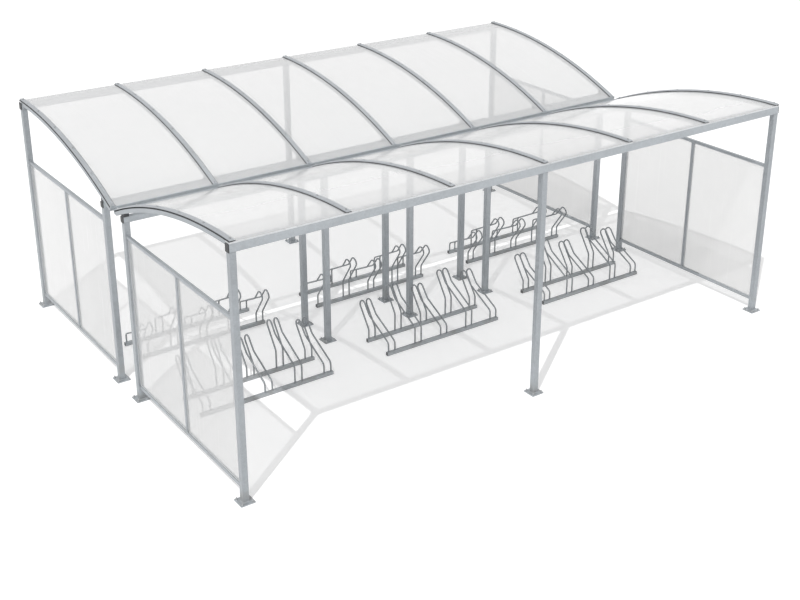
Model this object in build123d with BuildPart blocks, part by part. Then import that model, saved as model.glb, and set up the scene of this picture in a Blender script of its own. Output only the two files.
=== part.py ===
from build123d import *

import os
from math import asin, cos, sin, sqrt

# Double-sided bike shelter with six floor racks, modelled as it is built.
#
# Two halves stand back to back and mirror each other across the XZ plane. Each half has a row of tall
# outer posts with a beam, a row of low inner posts with a purlin, seven curved bars that carry clear
# sheets, and a glazed screen at each end. Three racks of five wheel places stand under each roof.
#
# Frame: X runs along the shelter, Y across it from the front half to the rear half, Z up. The origin
# is on the floor in the middle of the plan. Millimetres.

os.makedirs("parts", exist_ok=True)

# --- Layout ---------------------------------------------------------------------------------------
bay = 1000.0  # spacing of the curved roof bars
bay_count = 6
outer_post_lines = (0, 3, 6)  # bars over which the tall posts stand
inner_post_lines = (0, 2, 3, 4, 6)
outer_row_y = 2190.0  # middle plane to the tall posts
inner_row_y = 220.0  # middle plane to the low posts

# --- Posts, beams and purlins ---------------------------------------------------------------------
post_size = 55.0
post_wall = 2.5
tube_corner = 4.0  # outside corner radius of the large tubes
least_corner = 0.5  # inside corner radius where the wall is thicker than the outside corner
plate_margin = 37.5  # post face to the edge of its base plate
plate_thickness = 8.0
plate_corner = 6.0
anchor_edge = 17.0  # anchor hole to the edge of the plate
anchor_hole_radius = 6.0
beam_underside = 2150.0
beam_height = 70.0
beam_wall = 3.0
purlin_height = 55.0
packer_height = 8.0  # least gap between a purlin and the curved bars
cap_thickness = 8.0
cap_plug_depth = 25.0
cap_plug_wall = 4.0
cap_edge = 2.0

# --- Roof -----------------------------------------------------------------------------------------
crest_height = 14.0  # strip that carries the sheets over a beam
roof_radius = 5250.0  # underside of the sheets
roof_end_y = 50.0  # middle plane to the low end of the bars, along the sheets
bar_width = 50.0
bar_height = 40.0
bar_nose = 22.0  # rounding under the low end of a bar
sheet_thickness = 4.0
gasket_width = 55.0
gasket_flange = 5.0  # height over the sheets
gasket_stem = 10.0  # width between two sheets
sheet_side_gap = 1.0  # each side of a gasket stem
cover_width = 44.0
cover_height = 11.0
cover_edge = 4.0
screw_count = 6  # on each cover strip
screw_low_y = 70.0  # middle plane to the lowest screw
screw_high_inset = 10.0  # tall posts to the highest screw
screw_flange_radius = 9.0
screw_flange_height = 2.0
screw_flats = 12.0
screw_head_height = 7.0
eaves_depth = 12.0  # along the sheets
eaves_height = 40.0
eaves_rise = 16.0  # top of the strip over the underside of the sheets

# --- End screens ----------------------------------------------------------------------------------
screen_tube = 30.0
screen_wall = 2.0
screen_corner = 2.0
screen_drop = 121.0  # top of the screens under the purlins
screen_bottom = 118.0
pane_thickness = 5.0

# --- Racks ----------------------------------------------------------------------------------------
rack_lines = (1, 3, 5)  # bars under which the racks stand
rack_shift_x = -15.0  # off those bars, along the shelter
rack_offset_y = 436.0  # from the low posts to the middle of a rack
rack_gauge = 346.0  # between the two base rails
rack_tube = 35.0
rack_wall = 2.0
rack_corner = 2.0
place_count = 5
place_pitch = 316.0
wheel_gauge = 75.0  # between the two bars of a place
rail_overhang = 10.0  # rail past the last hoop
hoop_diameter = 16.0
hoop_hook_radius = 42.0
hoop_lean_radius = 60.0
hoop_knee_radius = 70.0
hoop_foot_radius = 45.0
# Corners of a hoop's path between its two feet, as (distance from the inner rail towards the outer
# one, height): lean, the two corners of the hook, knee, and the bend over the outer foot.
low_corners = ((0, 138), (-166, 368), (-93, 431), (15, 295), (rack_gauge, 129))
high_corners = ((0, 221), (-168, 465), (-84, 514), (0, 394), (rack_gauge, 209))
hoop_radii = (hoop_lean_radius, hoop_hook_radius, hoop_hook_radius, hoop_knee_radius, hoop_foot_radius)

# --- Derived --------------------------------------------------------------------------------------
length = bay * bay_count
line_x = [i * bay - length / 2 for i in range(bay_count + 1)]
tube_length = length + post_size
beam_top = beam_underside + beam_height
beam_inner_y = outer_row_y - post_size / 2
beam_outer_y = outer_row_y + post_size / 2
# The crest of the roof lies over the beam, and the sheets rest on the crest strip's two top edges.
crest_top = beam_top + crest_height
arc_z = crest_top - sqrt(roof_radius**2 - (post_size / 2) ** 2)
bar_floor_radius = roof_radius - bar_height
purlin_inner_y = inner_row_y - post_size / 2
purlin_top = arc_z + sqrt(bar_floor_radius**2 - (outer_row_y - purlin_inner_y) ** 2) - packer_height
purlin_underside = purlin_top - purlin_height
plate_size = post_size + 2 * plate_margin
anchor_spacing = plate_size - 2 * anchor_edge
screen_top = purlin_underside - screen_drop
rack_center_y = inner_row_y + rack_offset_y
sheet_top_radius = roof_radius + sheet_thickness
gasket_top_radius = sheet_top_radius + gasket_flange
cover_top_radius = gasket_top_radius + cover_height
eaves_top_radius = roof_radius + eaves_rise
end_angle = asin((outer_row_y - roof_end_y) / roof_radius)  # of the bars' low end, from the crest
screw_step = (outer_row_y - screw_high_inset - screw_low_y) / (screw_count - 1)
sides = {"front": -1, "rear": 1}
ends = {"left": -1, "right": 1}
ALONG, ACROSS, UP = (1, 0, 0), (0, 1, 0), (0, 0, 1)


def save(part, name):
    """Labels a finished piece and writes it as parts/name.step."""
    part.label = name
    export_step(part, f"parts/{name}.step")


def arc_point(side, radius, angle, shift=0.0):
    """Point on a circle about the roof's axis: angle from the crest towards the middle, and shift
    along the tangent, as (y, z)."""
    y = outer_row_y - radius * sin(angle) - shift * cos(angle)
    z = arc_z + radius * cos(angle) - shift * sin(angle)
    return side * y, z


def outer_point(side, radius, y):
    """Point on a circle about the roof's axis at a given distance from the middle plane."""
    return side * y, arc_z + sqrt(radius**2 - (y - outer_row_y) ** 2)


def roof_band(side, inner_radius, outer_radius, outer_y, middle_x, width):
    """Adds a curved band of the roof, from outer_y down to the bars' low end, to the current part."""
    low_in = arc_point(side, inner_radius, end_angle)
    low_out = arc_point(side, outer_radius, end_angle)
    high_in = outer_point(side, inner_radius, outer_y)
    high_out = outer_point(side, outer_radius, outer_y)
    half = end_angle / 2
    with BuildSketch(Plane.YZ.offset(middle_x - width / 2)) as profile:
        with BuildLine():
            ThreePointArc(high_in, arc_point(side, inner_radius, half), low_in)
            Line(low_in, low_out)
            ThreePointArc(low_out, arc_point(side, outer_radius, half), high_out)
            Line(high_out, high_in)
        make_face()
    extrude(profile.sketch, amount=width)


def plane_at(origin, direction):
    """Plane for a section: its normal is the direction, and a width lies level across it."""
    level = (0, 1, 0) if direction[0] else (1, 0, 0)
    return Plane(origin=origin, x_dir=level, z_dir=direction)


def square_tube(start, direction, width, height, wall, corner, amount):
    """Adds a rectangular tube to the current part, from the middle of its first end."""
    with BuildSketch(plane_at(start, direction)) as profile:
        RectangleRounded(width, height, corner)
        inner_corner = max(corner - wall, least_corner)
        RectangleRounded(width - 2 * wall, height - 2 * wall, inner_corner, mode=Mode.SUBTRACT)
    extrude(profile.sketch, amount=amount)


# --- Posts with their base plates -----------------------------------------------------------------
rows = {
    "outer": (outer_row_y, outer_post_lines, beam_underside),
    "inner": (inner_row_y, inner_post_lines, purlin_underside),
}
for side_name, side in sides.items():
    for row_name, (row_y, lines, top) in rows.items():
        with BuildPart() as posts:
            for i in lines:
                foot = (line_x[i], side * row_y, plate_thickness)
                post_length = top - plate_thickness
                square_tube(foot, UP, post_size, post_size, post_wall, tube_corner, post_length)
        save(posts.part, f"{side_name}_{row_name}_posts")

    feet = [(line_x[i], side * row_y) for row_y, lines, _ in rows.values() for i in lines]
    with BuildPart() as base_plates:
        with BuildSketch():
            with Locations(*feet):
                RectangleRounded(plate_size, plate_size, plate_corner)
                with GridLocations(anchor_spacing, anchor_spacing, 2, 2):
                    Circle(anchor_hole_radius, mode=Mode.SUBTRACT)
        extrude(amount=plate_thickness)
    save(base_plates.part, f"{side_name}_base_plates")

# --- Beams, purlins and their end caps ------------------------------------------------------------
for side_name, side in sides.items():
    tubes = (
        ("outer_beam", outer_row_y, beam_underside, beam_height),
        ("inner_purlin", inner_row_y, purlin_underside, purlin_height),
    )
    for tube_name, row_y, underside, height in tubes:
        start = (-tube_length / 2, side * row_y, underside + height / 2)
        with BuildPart() as tube:
            square_tube(start, ALONG, post_size, height, beam_wall, tube_corner, tube_length)
        save(tube.part, f"{side_name}_{tube_name}")

    with BuildPart() as tube_caps:
        for _, row_y, underside, height in tubes:
            for end in ends.values():
                middle_z = underside + height / 2
                outward = (end, 0, 0)
                with BuildSketch(plane_at((end * tube_length / 2, side * row_y, middle_z), outward)):
                    RectangleRounded(post_size, height, tube_corner)
                extrude(amount=cap_thickness)
                square_tube(
                    (end * (tube_length / 2 - cap_plug_depth), side * row_y, middle_z),
                    outward,
                    post_size - 2 * beam_wall,
                    height - 2 * beam_wall,
                    cap_plug_wall,
                    max(tube_corner - beam_wall, least_corner),
                    cap_plug_depth,
                )
        outer_faces = tube_caps.faces().filter_by(Axis.X).group_by(Axis.X)
        chamfer([f.outer_wire().edges() for f in outer_faces[0] + outer_faces[-1]], cap_edge)
    save(tube_caps.part, f"{side_name}_tube_caps")

# --- Crest strips, curved bars, packers, sheets, gaskets and cover strips -------------------------
for side_name, side in sides.items():
    with BuildPart() as crest_strip:
        with BuildSketch(Plane.YZ.offset(-tube_length / 2)):
            with Locations((side * outer_row_y, beam_top + crest_height / 2)):
                Rectangle(post_size, crest_height)
        extrude(amount=tube_length)
    save(crest_strip.part, f"{side_name}_crest_strip")

    with BuildPart() as arch_bars:
        for x in line_x:
            roof_band(side, bar_floor_radius, roof_radius, beam_inner_y, x, bar_width)
        low_end = arch_bars.edges().filter_by(Axis.X).group_by(Axis.Z)[0]
        fillet(low_end, bar_nose)
    save(arch_bars.part, f"{side_name}_arch_bars")

    with BuildPart() as rail_packers:
        with BuildSketch(Plane.XY.offset(purlin_top)):
            with Locations(*[(x, side * inner_row_y) for x in line_x]):
                Rectangle(bar_width, post_size)
        extrude(amount=bar_floor_radius)
        with BuildSketch(Plane.YZ.offset(-length)):
            with Locations((side * outer_row_y, arc_z)):
                Circle(bar_floor_radius)
        extrude(amount=2 * length, mode=Mode.INTERSECT)
    save(rail_packers.part, f"{side_name}_rail_packers")

    inset = gasket_stem / 2 + sheet_side_gap
    with BuildPart() as roof_sheets:
        for i in range(bay_count):
            middle = (line_x[i] + line_x[i + 1]) / 2
            roof_band(side, roof_radius, sheet_top_radius, beam_outer_y, middle, bay - 2 * inset)
    save(roof_sheets.part, f"{side_name}_roof_sheets")

    with BuildPart() as gaskets:
        for x in line_x:
            roof_band(side, sheet_top_radius, gasket_top_radius, beam_outer_y, x, gasket_width)
            roof_band(side, roof_radius, sheet_top_radius, beam_outer_y, x, gasket_stem)
        for end in ends.values():
            shoulder = (gasket_width - gasket_stem) / 2
            x = end * (length / 2 + gasket_stem / 2 + shoulder / 2)
            roof_band(side, roof_radius, sheet_top_radius, beam_outer_y, x, shoulder)
    save(gaskets.part, f"{side_name}_glazing_gaskets")

    with BuildPart() as covers:
        for x in line_x:
            roof_band(side, gasket_top_radius, cover_top_radius, beam_outer_y, x, cover_width)
        crowns = covers.faces().filter_by(GeomType.CYLINDER).filter_by(
            lambda f: f.radius > gasket_top_radius + cover_height / 2
        )
        long_edges = crowns.edges().filter_by(GeomType.CIRCLE)
        fillet(long_edges, cover_edge)
    save(covers.part, f"{side_name}_cover_strips")

    seats = []
    for x in line_x:
        for i in range(screw_count):
            angle = asin((outer_row_y - screw_low_y - i * screw_step) / cover_top_radius)
            seat_point = (x, *arc_point(side, cover_top_radius, angle))
            outward = (0, -side * sin(angle), cos(angle))
            seats.append(Plane(origin=seat_point, x_dir=ALONG, z_dir=outward))
    with BuildPart() as cover_screws:
        with BuildSketch(*seats):
            Circle(screw_flange_radius)
        extrude(amount=screw_flange_height)
        with BuildSketch(*[seat.offset(screw_flange_height) for seat in seats]):
            RegularPolygon(screw_flats / 2, 6, major_radius=False)
        extrude(amount=screw_head_height)
    save(cover_screws.part, f"{side_name}_cover_screws")

    with BuildPart() as eaves_strip:
        with BuildSketch(Plane.YZ.offset(-tube_length / 2)):
            with BuildLine():
                Polyline(
                    arc_point(side, eaves_top_radius, end_angle),
                    arc_point(side, eaves_top_radius, end_angle, eaves_depth),
                    arc_point(side, eaves_top_radius - eaves_height, end_angle, eaves_depth),
                    arc_point(side, eaves_top_radius - eaves_height, end_angle),
                    close=True,
                )
            make_face()
        extrude(amount=tube_length)
    save(eaves_strip.part, f"{side_name}_eaves_strip")

# --- End screens ----------------------------------------------------------------------------------
screen_inner_y = inner_row_y + post_size / 2
screen_outer_y = outer_row_y - post_size / 2
screen_span = screen_outer_y - screen_inner_y
screen_middle_y = (screen_outer_y + screen_inner_y) / 2
pane_low = screen_bottom + screen_tube
pane_high = screen_top - screen_tube
pane_width = (screen_span - screen_tube) / 2
rail_heights = (screen_bottom + screen_tube / 2, screen_top - screen_tube / 2)

for side_name, side in sides.items():
    for end_name, end in ends.items():
        with BuildPart() as screen_rails:
            for z in rail_heights:
                start = (end * length / 2, side * screen_middle_y - screen_span / 2, z)
                square_tube(start, ACROSS, screen_tube, screen_tube, screen_wall, screen_corner, screen_span)
        save(screen_rails.part, f"{side_name}_{end_name}_screen_rails")

        with BuildPart() as screen_panes:
            with BuildSketch(Plane.XY.offset(pane_low)):
                with Locations((end * length / 2, side * screen_middle_y)):
                    with GridLocations(0, pane_width + screen_tube, 1, 2):
                        Rectangle(pane_thickness, pane_width)
            extrude(amount=pane_high - pane_low)
        save(screen_panes.part, f"{side_name}_{end_name}_screen_panes")

with BuildPart() as screen_mullions:
    for end in ends.values():
        for side in sides.values():
            foot = (end * length / 2, side * screen_middle_y, pane_low)
            pane_height = pane_high - pane_low
            square_tube(foot, UP, screen_tube, screen_tube, screen_wall, screen_corner, pane_height)
save(screen_mullions.part, "screen_mullions")

# --- Racks ----------------------------------------------------------------------------------------
bars_span = (place_count - 1) * place_pitch + wheel_gauge
rack_length = bars_span + hoop_diameter + 2 * rail_overhang
rack_x = [line_x[i] + rack_shift_x for i in rack_lines]


def hoop_points(side, corners):
    """Corners of a hoop's centreline from its inner foot to its outer foot, as (y, z)."""
    path = ((0, rack_tube), *corners, (rack_gauge, rack_tube))
    return [(side * (rack_center_y - rack_gauge / 2 + u), z) for u, z in path]


for side_name, side in sides.items():
    with BuildPart() as rack_rails:
        for x in rack_x:
            for y in (rack_center_y - rack_gauge / 2, rack_center_y + rack_gauge / 2):
                start = (x - rack_length / 2, side * y, rack_tube / 2)
                square_tube(start, ALONG, rack_tube, rack_tube, rack_wall, rack_corner, rack_length)
    save(rack_rails.part, f"{side_name}_rack_rails")

    for rack_name, x in zip(("left", "middle", "right"), rack_x):
        with BuildPart() as hoops:
            for place in range(place_count):
                place_x = x + (place - (place_count - 1) / 2) * place_pitch
                corners = high_corners if place % 2 else low_corners
                for bar_x in (place_x - wheel_gauge / 2, place_x + wheel_gauge / 2):
                    with BuildLine(Plane.YZ.offset(bar_x)):
                        FilletPolyline(*hoop_points(side, corners), radius=list(hoop_radii))
                    inner_foot = (bar_x, side * (rack_center_y - rack_gauge / 2), rack_tube)
                    with BuildSketch(plane_at(inner_foot, UP)):
                        Circle(hoop_diameter / 2)
                    sweep()
        save(hoops.part, f"{side_name}_{rack_name}_rack_hoops")
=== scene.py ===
"""Looks of a double-sided bike shelter: finishes, smooth sections, racks, fasteners and welds.

Metres throughout. X runs along the shelter, Y from the front half to the rear half, Z up, and the
origin is on the floor in the middle of the plan.
"""
import logging
import math
from dataclasses import dataclass
from enum import Enum
from typing import Sequence, Union

import bmesh
import bpy
import numpy as np
from mathutils import Matrix, Vector


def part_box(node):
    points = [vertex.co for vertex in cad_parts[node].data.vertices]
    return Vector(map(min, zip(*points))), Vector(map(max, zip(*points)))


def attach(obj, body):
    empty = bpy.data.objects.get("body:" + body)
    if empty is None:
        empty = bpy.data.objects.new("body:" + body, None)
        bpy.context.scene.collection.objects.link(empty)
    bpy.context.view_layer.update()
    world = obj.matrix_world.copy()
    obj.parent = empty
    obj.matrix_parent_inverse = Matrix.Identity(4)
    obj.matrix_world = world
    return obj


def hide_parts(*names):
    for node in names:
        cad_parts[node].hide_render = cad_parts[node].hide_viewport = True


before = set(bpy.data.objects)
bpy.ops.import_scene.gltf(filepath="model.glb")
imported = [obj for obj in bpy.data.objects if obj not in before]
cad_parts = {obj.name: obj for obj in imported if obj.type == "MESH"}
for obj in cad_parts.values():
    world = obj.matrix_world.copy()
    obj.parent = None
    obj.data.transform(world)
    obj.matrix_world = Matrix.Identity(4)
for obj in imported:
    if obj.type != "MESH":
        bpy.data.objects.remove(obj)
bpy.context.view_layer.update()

LOG = logging.getLogger("bike_shelter")
BODY = "root"
HEXAGON = 6
EAVES_STATIONS = 13
ARC_SHARE = 0.45  # of a side that a rounded corner may take up at one end
Number = Union[float, int, "Wire"]
Colour = tuple[float, float, float]
Pairs = tuple[tuple[float, float], ...]


class Side(Enum):
    """A side of the shelter, with the sign of its coordinate."""

    @property
    def word(self) -> str:
        """The side's name as the CAD nodes spell it."""
        return self.name.lower()

    def node(self, part: str) -> str:
        """Name of one of the side's pieces."""
        return f"{self.word}_{part}"


class Half(Side):
    """The two mirrored halves, by the sign of their Y."""

    FRONT = -1.0
    REAR = 1.0


class End(Side):
    """The two ends, by the sign of their X."""

    LEFT = -1.0
    RIGHT = 1.0


class Grain(Enum):
    """Direction a section was drawn or rolled in, as how fine its streaks are on each axis."""

    ALONG = (0.02, 1.0, 1.0)
    ACROSS = (1.0, 0.02, 1.0)
    UP = (1.0, 1.0, 0.02)


class Slot(Enum):
    """Material slots of the record."""

    STEEL = "galvanised_steel"
    RACK = "rack_steel"
    STRIP = "aluminium_strip"
    SHEET = "roof_sheet"
    PANE = "screen_pane"
    RUBBER = "gasket_rubber"
    PLASTIC = "black_plastic"


# --- Shapes ---


@dataclass(frozen=True)
class Surface:
    """Points, four-cornered faces and end faces of one or more closed shells.

    along holds, for each point, its distance along the path that the shell was swept on.
    """

    points: np.ndarray
    quads: np.ndarray
    caps: np.ndarray
    along: np.ndarray

    def repeated(self, frames: np.ndarray) -> "Surface":
        """Copies the shell to each frame: every point is turned and moved by every 4 x 4 matrix.

        Args:
            frames: Array of shape (copies, 4, 4).

        Returns:
            One surface that holds all the copies.
        """
        moved = np.einsum("kij,nj->kni", frames[:, :3, :3], self.points) + frames[:, None, :3, 3]
        step = (np.arange(len(frames)) * len(self.points))[:, None, None]
        return Surface(
            moved.reshape(-1, 3),
            (self.quads[None] + step).reshape(-1, 4),
            (self.caps[None] + step).reshape(-1, self.caps.shape[1]),
            np.tile(self.along, len(frames)),
        )

    @staticmethod
    def joined(parts: Sequence["Surface"]) -> "Surface":
        """Gathers several surfaces whose end faces have the same number of corners."""
        starts = np.cumsum([0] + [len(p.points) for p in parts[:-1]])
        return Surface(
            np.concatenate([p.points for p in parts]),
            np.concatenate([p.quads + s for p, s in zip(parts, starts)]),
            np.concatenate([p.caps + s for p, s in zip(parts, starts)]),
            np.concatenate([p.along for p in parts]),
        )


def grid(points: np.ndarray, loop: bool = False, along: np.ndarray | None = None) -> Surface:
    """Skins a grid of points whose rows are closed rings.

    Row i, column j joins to row i + 1 and column j + 1, and the last column joins the first. With
    loop, the last row joins the first too. Otherwise the first and last rings get an end face.

    Args:
        points: Array of shape (rows, columns, 3).
        loop: Whether the rows close on themselves.
        along: Distance along the path of each row.

    Returns:
        The closed surface.
    """
    rows, columns = points.shape[:2]
    index = np.arange(rows * columns).reshape(rows, columns)
    ring = np.concatenate([index, index[:, :1]], axis=1)
    ring = np.concatenate([ring, ring[:1]], axis=0) if loop else ring
    quads = np.stack([ring[:-1, :-1], ring[:-1, 1:], ring[1:, 1:], ring[1:, :-1]], axis=-1)
    caps = np.empty((0, columns), int) if loop else np.stack([index[0, ::-1], index[-1]])
    run = np.zeros(rows) if along is None else along
    return Surface(points.reshape(-1, 3), quads.reshape(-1, 4), caps, np.repeat(run, columns))


def corner_arcs(at: np.ndarray, before: np.ndarray, after: np.ndarray,
                radius: float | np.ndarray, steps: int, share: float = math.inf) -> np.ndarray:
    """Arcs that touch both sides of corners.

    An arc starts and ends at its radius divided by the tangent of half the corner's angle, and is
    stepped by angle on a circle about a centre on the bisector.

    Args:
        at: Corners, of shape (n, 2).
        before: From each corner to the one before.
        after: From each corner to the next.
        radius: Radius of the arcs, or one for each.
        steps: Points on each arc.
        share: Largest share of a corner's shorter side that its arc may take.

    Returns:
        Array of shape (n * steps, 2).
    """
    long_a, long_b = np.linalg.norm(before, axis=1), np.linalg.norm(after, axis=1)
    ua, ub = before / long_a[:, None], after / long_b[:, None]
    half = np.arccos(np.clip((ua * ub).sum(1), -1, 1)) / 2
    reach = np.minimum(radius / np.tan(half), share * np.minimum(long_a, long_b))
    r = reach * np.tan(half)
    bisector = (ua + ub) / np.linalg.norm(ua + ub, axis=1)[:, None]
    centre = at + bisector * (r / np.sin(half))[:, None]
    start = at + ua * reach[:, None] - centre
    end = at + ub * reach[:, None] - centre
    turn = np.arctan2(start[:, 0] * end[:, 1] - start[:, 1] * end[:, 0], (start * end).sum(1))
    angle = turn[:, None] * np.linspace(0, 1, steps)[None]
    x = start[:, :1] * np.cos(angle) - start[:, 1:] * np.sin(angle)
    y = start[:, :1] * np.sin(angle) + start[:, 1:] * np.cos(angle)
    return (centre[:, None] + np.stack([x, y], axis=-1)).reshape(-1, 2)


def rounded(corners: Sequence[tuple[float, float]], radius: float, steps: int = 4) -> np.ndarray:
    """Rounds every corner of a closed outline, by less where a side is too short for the radius."""
    at = np.asarray(corners, float)
    before, after = np.roll(at, 1, axis=0) - at, np.roll(at, -1, axis=0) - at
    return corner_arcs(at, before, after, radius, steps, ARC_SHARE)


def box_outline(width: float, height: float, radius: float, steps: int = 4) -> np.ndarray:
    """Outline of a rounded rectangle about the origin."""
    w, h = width / 2, height / 2
    return rounded([(-w, -h), (w, -h), (w, h), (-w, h)], radius, steps)


def circle(radius: float, sides: int) -> np.ndarray:
    """Outline of a circle: radius times the cosine and sine of evenly spaced angles."""
    angle = np.linspace(0, 2 * math.pi, sides, endpoint=False)
    return radius * np.stack([np.cos(angle), np.sin(angle)], axis=-1)


def swept(section: np.ndarray, path: np.ndarray, side: Sequence[float], loop: bool = False,
          swell: np.ndarray | None = None) -> Surface:
    """Carries a section along a flat path.

    At each point the section's first coordinate runs along side, a fixed direction at right angles
    to the path's plane, and its second along the normal, the cross product of side and the tangent.
    The tangent is the mean of the directions before and after the point.

    Args:
        section: Outline of shape (n, 2).
        path: Points of shape (m, 3).
        side: Direction that stays level with the section's first coordinate.
        loop: Whether the path closes on itself.
        swell: Scale of the section at each point.

    Returns:
        The swept surface.
    """
    ahead = np.roll(path, -1, axis=0) - path
    ahead /= np.maximum(np.linalg.norm(ahead, axis=1), 1e-12)[:, None]
    behind = np.roll(ahead, 1, axis=0)
    if not loop:
        ahead[-1], behind[0] = behind[-1], ahead[0]
    tangent = ahead + behind
    tangent /= np.linalg.norm(tangent, axis=1)[:, None]
    level = np.broadcast_to(np.asarray(side, float), path.shape)
    normal = np.cross(level, tangent)
    stretch = 1 / np.maximum((tangent * ahead).sum(1), 0.5)
    size = np.ones(len(path)) if swell is None else swell
    a = section[None, :, :1] * size[:, None, None]
    b = section[None, :, 1:] * (size * stretch)[:, None, None]
    gaps = np.linalg.norm(np.diff(path, axis=0), axis=1)
    return grid(path[:, None] + a * level[:, None] + b * normal[:, None], loop,
                np.concatenate([[0.0], np.cumsum(gaps)]))


def turned(profile: Sequence[tuple[float, float]], sides: int = 16, flats: int = 0) -> Surface:
    """Turns a closed profile about Z.

    The profile runs from the axis round the outside and back to the axis. With flats, a radius that
    is given as negative becomes the reach of a regular polygon at that angle, which is the radius
    divided by the cosine of the angle from the nearest flat's middle.

    Args:
        profile: Pairs of radius and height. A negative radius is the distance to a flat.
        sides: Points around the axis.
        flats: Number of flats of the polygon, or none.

    Returns:
        The turned surface, with its poles still to be merged.
    """
    outline = np.asarray(profile, float)
    angle = np.linspace(0, 2 * math.pi, sides, endpoint=False)
    pitch = 2 * math.pi / flats if flats else 1.0
    reach = 1 / np.cos((angle + pitch / 2) % pitch - pitch / 2) if flats else np.ones(sides)
    radius = np.abs(outline[:, :1]) * np.where(outline[:, :1] < 0, reach[None], 1.0)
    z = np.repeat(outline[:, 1:], sides, axis=1)
    return grid(np.stack([radius * np.cos(angle), radius * np.sin(angle), z], axis=-1))


def frames_at(points: np.ndarray, up: Sequence[float] | np.ndarray = (0, 0, 1),
              ahead: Sequence[float] = (1, 0, 0)) -> np.ndarray:
    """Frames at points, with Z along up and X as near to ahead as it can be.

    Args:
        points: Array of shape (n, 3).
        up: One direction, or one for each point.
        ahead: Direction for X.

    Returns:
        Array of shape (n, 4, 4).
    """
    z = np.broadcast_to(np.asarray(up, float), points.shape)
    z = z / np.linalg.norm(z, axis=1)[:, None]
    y = np.cross(z, np.broadcast_to(np.asarray(ahead, float), points.shape))
    y /= np.linalg.norm(y, axis=1)[:, None]
    out = np.zeros((len(points), 4, 4))
    out[:, :3, 0], out[:, :3, 1], out[:, :3, 2] = np.cross(y, z), y, z
    out[:, :3, 3], out[:, 3, 3] = points, 1.0
    return out


def place(name: str, surface: Surface, finish: "Finish",
          replaces: Sequence[str] = (), crease: float = 32.0) -> bpy.types.Object:
    """Makes a mesh object of a surface, dresses it and lets it ride on the shelter.

    Args:
        name: Name of the piece.
        surface: The shape.
        finish: Its finish.
        replaces: CAD nodes that the piece stands for.
        crease: Angle in degrees past which an edge stays sharp.

    Returns:
        The finished object.
    """
    mesh = bpy.data.meshes.new(name)
    mesh.from_pydata(surface.points.tolist(), [], surface.quads.tolist() + surface.caps.tolist())
    run = mesh.attributes.new("along", "FLOAT", "POINT")
    run.data.foreach_set("value", surface.along.astype(np.float32))
    work = bmesh.new()
    work.from_mesh(mesh)
    bmesh.ops.remove_doubles(work, verts=work.verts, dist=2e-6)
    bmesh.ops.dissolve_degenerate(work, edges=work.edges, dist=1e-7)
    bmesh.ops.recalc_face_normals(work, faces=work.faces)
    work.to_mesh(mesh)
    work.free()
    mesh.polygons.foreach_set("use_smooth", np.ones(len(mesh.polygons), bool))
    mesh.set_sharp_from_angle(angle=math.radians(crease))
    mesh.materials.append(finish.material())
    piece = bpy.data.objects.new(name, mesh)
    bpy.context.scene.collection.objects.link(piece)
    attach(piece, BODY)
    if replaces:
        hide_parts(*replaces)
    LOG.info("%s: %d faces, %s", name, len(mesh.polygons), finish.label)
    return piece


# --- Shader graph ---


class Wire:
    """A number that varies over a surface. The usual operators add Math nodes."""

    def __init__(self, graph: "Graph", socket: bpy.types.NodeSocket) -> None:
        """Wraps an output socket of the graph's material."""
        self.graph = graph
        self.socket = socket

    def _math(self, operation: str, first: Number, second: Number) -> "Wire":
        """Adds one Math node."""
        node = self.graph.add("ShaderNodeMath", {"operation": operation}, {0: first, 1: second})
        return Wire(self.graph, node.outputs[0])

    def __add__(self, other: Number) -> "Wire":
        """Sum."""
        return self._math("ADD", self, other)

    __radd__ = __add__

    def __mul__(self, other: Number) -> "Wire":
        """Product."""
        return self._math("MULTIPLY", self, other)

    __rmul__ = __mul__

    def __sub__(self, other: Number) -> "Wire":
        """Difference."""
        return self._math("SUBTRACT", self, other)

    def __rsub__(self, other: Number) -> "Wire":
        """Difference from a number."""
        return self._math("SUBTRACT", other, self)

    def __pow__(self, other: Number) -> "Wire":
        """Power."""
        return self._math("POWER", self, other)

    def most(self, other: Number) -> "Wire":
        """The larger of two values."""
        return self._math("MAXIMUM", self, other)

    def rising(self, low: float, high: float) -> "Wire":
        """Smooth step from 0 at low to 1 at high. It falls where low is above high."""
        node = self.graph.add("ShaderNodeMapRange", {"interpolation_type": "SMOOTHSTEP"},
                              {0: self, 1: low, 2: high, 3: 0.0, 4: 1.0})
        return Wire(self.graph, node.outputs[0])


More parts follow.
